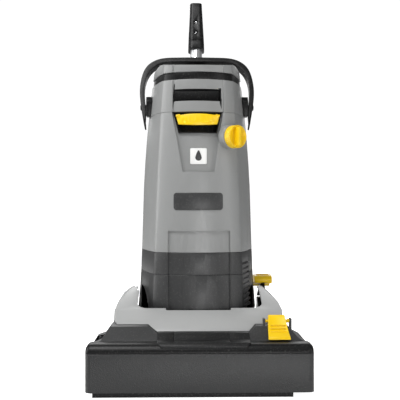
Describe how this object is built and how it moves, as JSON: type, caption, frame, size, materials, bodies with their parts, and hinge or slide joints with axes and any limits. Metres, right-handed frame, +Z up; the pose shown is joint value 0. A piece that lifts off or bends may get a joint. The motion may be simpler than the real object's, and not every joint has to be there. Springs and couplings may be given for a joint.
{
  "type": "floor scrubber machine",
  "caption": "Upright roller-brush floor scrubber: wide low brush head, tilting body with a lift-off water tank, carry bail, dosing knob and a folding telescopic push handle.",
  "frame": {"origin": "on the floor, in the middle of the overall length and width at rest", "axes": "+X to the right seen from the front, +Y from the front towards the push handle, +Z up"},
  "size_m": [0.335, 0.39, 0.6646],
  "materials": {
    "light_grey_plastic": "fine spark texture",
    "dark_grey_plastic": "satin",
    "black_plastic": "satin",
    "textured_black": "coarse grain",
    "yellow_plastic": "semi gloss",
    "black_rubber": "dull",
    "tyre_rubber": "dull",
    "steel": "brushed",
    "aluminium_tube": "anodised",
    "bristle": "bristles",
    "white_plate": "gloss"
  },
  "bodies": {
    "head": {"front_bumper": "textured_black", "brush_hood": "black_plastic", "front_hatch": "dark_grey_plastic", "head_cover": "light_grey_plastic", "side_arm_right": "black_plastic", "side_arm_left": "black_plastic", "wheel_axle": "steel", "rear_beam": "black_plastic", "front_squeegee_holder": "black_plastic", "front_squeegee_blade": "black_rubber", "brush_end_bearing": "steel", "drive_belt": "black_rubber", "spray_bar": "steel", "pedal_pin": "steel"},
    "brush": {"brush_core": "black_plastic", "brush_bristles": "bristle", "brush_pulley": "black_plastic"},
    "motor_drive": {"motor_pulley": "steel"},
    "wheel_left": {"wheel_tyre_left": "tyre_rubber", "wheel_hub_left": "black_plastic"},
    "wheel_right": {"wheel_tyre_right": "tyre_rubber", "wheel_hub_right": "black_plastic"},
    "pedal": {"pedal_lever": "black_plastic", "foot_pedal": "yellow_plastic"},
    "rear_squeegee": {"rear_squeegee_holder": "black_plastic", "rear_squeegee_blades": "black_rubber"},
    "release_latch": {"brush_latch": "yellow_plastic"},
    "body": {"lower_housing": "black_plastic", "collar_ring": "black_plastic", "vent_grille": "black_plastic", "brush_motor": "steel", "suction_turbine": "steel", "water_pump": "black_plastic", "rear_spine": "dark_grey_plastic", "stem_tube": "aluminium_tube", "stem_cover": "black_plastic", "fold_bracket": "black_plastic", "fold_pin": "steel", "cable_hook_lower": "black_plastic", "cord_gland": "black_rubber"},
    "cable_hook": {"cable_hook_upper": "black_plastic"},
    "tank": {"fresh_water_tank": "light_grey_plastic", "latch_recess": "black_plastic", "dirty_water_tank": "light_grey_plastic", "lid_band": "black_rubber", "bail_brackets": "dark_grey_plastic", "water_plate": "white_plate", "nameplate": "dark_grey_plastic", "tank_float": "white_plate"},
    "front_latch": {"tank_latch": "yellow_plastic"},
    "lid": {"tank_lid": "light_grey_plastic"},
    "knob": {"dosing_knob": "yellow_plastic"},
    "bail": {"carry_bail": "black_plastic"},
    "pole": {"fold_knuckle": "black_plastic", "pole_tube": "aluminium_tube"},
    "collar": {"lock_collar": "black_plastic"},
    "grip": {"inner_tube": "aluminium_tube", "grip_front": "textured_black", "grip_back": "textured_black"},
    "switch": {"power_switch": "yellow_plastic"}
  },
  "joints": [
    {"name": "body_tilt", "type": "hinge", "parent": "head", "child": "body", "pos_m": [0, 0.025, 0.08], "axis": [-1, 0, 0], "range_deg": [0, 60]},
    {"name": "brush_spin", "type": "hinge", "parent": "head", "child": "brush", "pos_m": [-0.021, -0.125, 0.0395], "axis": [1, 0, 0], "continuous": true},
    {"name": "motor_spin", "type": "hinge", "parent": "body", "child": "motor_drive", "pos_m": [0.1, 0.025, 0.08], "axis": [1, 0, 0], "continuous": true},
    {"name": "wheel_left_spin", "type": "hinge", "parent": "head", "child": "wheel_left", "pos_m": [-0.132, 0.13, 0.036], "axis": [1, 0, 0], "continuous": true},
    {"name": "wheel_right_spin", "type": "hinge", "parent": "head", "child": "wheel_right", "pos_m": [0.132, 0.13, 0.036], "axis": [1, 0, 0], "continuous": true},
    {"name": "pedal_press", "type": "hinge", "parent": "head", "child": "pedal", "pos_m": [0.122, 0.096, 0.102], "axis": [-1, 0, 0], "range_deg": [0, 18], "stiffness_Nm_per_rad": 0.6, "springref_deg": -17.19},
    {"name": "squeegee_lift", "type": "hinge", "parent": "head", "child": "rear_squeegee", "pos_m": [0, 0.167, 0.031], "axis": [1, 0, 0], "range_deg": [0, 10.8]},
    {"name": "brush_release", "type": "hinge", "parent": "head", "child": "release_latch", "pos_m": [0.12, -0.131, 0.1025], "axis": [-1, 0, 0], "range_deg": [0, 20], "stiffness_Nm_per_rad": 0.2, "springref_deg": -11.46},
    {"name": "hook_turn", "type": "hinge", "parent": "body", "child": "cable_hook", "pos_m": [0, 0.11, 0.3], "axis": [0, 1, 0], "range_deg": [0, 180]},
    {"name": "tank_lift", "type": "slide", "parent": "body", "child": "tank", "axis": [0, 0, 1], "range_m": [0, 0.08]},
    {"name": "latch_pull", "type": "hinge", "parent": "tank", "child": "front_latch", "pos_m": [0, -0.054, 0.4255], "axis": [-1, 0, 0], "range_deg": [0, 15], "stiffness_Nm_per_rad": 0.2, "springref_deg": -11.46},
    {"name": "lid_open", "type": "hinge", "parent": "tank", "child": "lid", "pos_m": [0, 0.061, 0.499], "axis": [-1, 0, 0], "range_deg": [0, 80]},
    {"name": "dosing_turn", "type": "hinge", "parent": "tank", "child": "knob", "pos_m": [0.052, -0.051, 0.391], "axis": [0.6157, -0.788, 0], "range_deg": [0, 180]},
    {"name": "bail_swing", "type": "hinge", "parent": "tank", "child": "bail", "pos_m": [0, 0.045, 0.45], "axis": [-1, 0, 0], "range_deg": [-45, 0]},
    {"name": "handle_fold", "type": "hinge", "parent": "body", "child": "pole", "pos_m": [0, 0.1706, 0.6516], "axis": [1, 0, 0], "range_deg": [0, 165]},
    {"name": "collar_twist", "type": "hinge", "parent": "pole", "child": "collar", "pos_m": [0, 0.1836, 0.412], "axis": [0, 0, 1], "range_deg": [0, 60]},
    {"name": "handle_extend", "type": "slide", "parent": "pole", "child": "grip", "axis": [0, 0, -1], "range_m": [0, 0.157]},
    {"name": "power_rock", "type": "hinge", "parent": "grip", "child": "switch", "pos_m": [0, 0.1726, 0.365], "axis": [1, 0, 0], "range_deg": [0, 8]}
  ],
  "couplings": [
    {"joint": "squeegee_lift", "follows": "pedal_press", "ratio": 0.6},
    {"joint": "motor_spin", "follows": "brush_spin", "ratio": 1.5}
  ]
}
